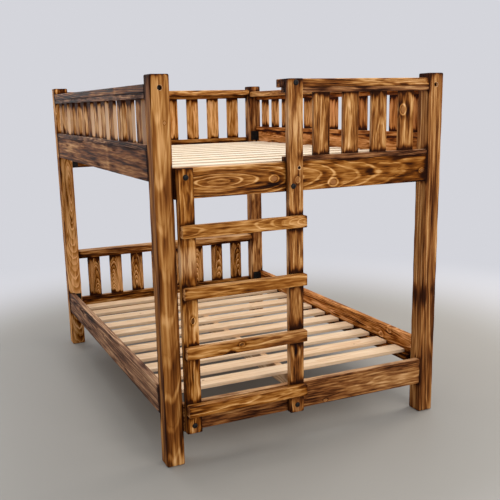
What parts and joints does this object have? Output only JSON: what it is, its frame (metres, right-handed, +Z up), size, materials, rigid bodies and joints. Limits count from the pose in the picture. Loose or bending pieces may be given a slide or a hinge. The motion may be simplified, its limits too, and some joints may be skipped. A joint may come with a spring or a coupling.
{
  "type": "bunk bed",
  "caption": "Rustic torched-wood bunk bed with square posts, slatted guards, slat decks, a low slatted headboard and a ladder bolted to its foot end.",
  "frame": {"origin": "on the floor, in the middle of the whole bed with its ladder", "axes": "+Z up, +Y along the bed from its ladder end to its headboard end, +X across it to the right as seen from the ladder end"},
  "size_m": [1.562, 2.3126, 1.829],
  "materials": {
    "post_wood": "torched and brushed softwood, golden brown with burnt edges",
    "rail_wood": "torched and brushed softwood, brown with dark grain",
    "cap_wood": "torched and brushed softwood, reddish gold",
    "guard_wood": "torched softwood slats, burnt dark at their ends",
    "ladder_wood": "torched and brushed softwood, worn at the edges",
    "bare_pine": "planed pine without a finish",
    "black_steel": "black coated steel, satin"
  },
  "bodies": {
    "root": {"foot_guard_cap": "cap_wood", "foot_guard_panel": "guard_wood", "foot_left_post": "post_wood", "foot_right_post": "post_wood", "head_guard_cap": "cap_wood", "head_guard_panel": "guard_wood", "head_left_post": "post_wood", "head_right_post": "post_wood", "headboard_cap": "cap_wood", "headboard_panel": "guard_wood", "ladder_left_upright": "ladder_wood", "ladder_right_upright": "ladder_wood", "ladder_rung_1": "ladder_wood", "ladder_rung_2": "ladder_wood", "ladder_rung_3": "ladder_wood", "ladder_rung_4": "ladder_wood", "left_guard_cap": "cap_wood", "left_guard_panel": "guard_wood", "lower_centre_support": "bare_pine", "lower_foot_left_bracket": "black_steel", "lower_foot_rail": "rail_wood", "lower_foot_right_bracket": "black_steel", "lower_head_left_bracket": "black_steel", "lower_head_rail": "rail_wood", "lower_head_right_bracket": "black_steel", "lower_left_rail": "rail_wood", "lower_right_rail": "rail_wood", "lower_slat_01": "bare_pine", "lower_slat_02": "bare_pine", "lower_slat_03": "bare_pine", "lower_slat_04": "bare_pine", "lower_slat_05": "bare_pine", "lower_slat_06": "bare_pine", "lower_slat_07": "bare_pine", "lower_slat_08": "bare_pine", "lower_slat_09": "bare_pine", "lower_slat_10": "bare_pine", "lower_slat_11": "bare_pine", "right_guard_cap": "cap_wood", "right_guard_panel": "guard_wood", "upper_centre_support": "bare_pine", "upper_foot_left_bracket": "black_steel", "upper_foot_rail": "rail_wood", "upper_foot_right_bracket": "black_steel", "upper_head_left_bracket": "black_steel", "upper_head_rail": "rail_wood", "upper_head_right_bracket": "black_steel", "upper_left_rail": "rail_wood", "upper_right_rail": "rail_wood", "upper_slat_01": "bare_pine", "upper_slat_02": "bare_pine", "upper_slat_03": "bare_pine", "upper_slat_04": "bare_pine", "upper_slat_05": "bare_pine", "upper_slat_06": "bare_pine", "upper_slat_07": "bare_pine", "upper_slat_08": "bare_pine", "upper_slat_09": "bare_pine", "upper_slat_10": "bare_pine", "upper_slat_11": "bare_pine"}
  },
  "joints": []
}
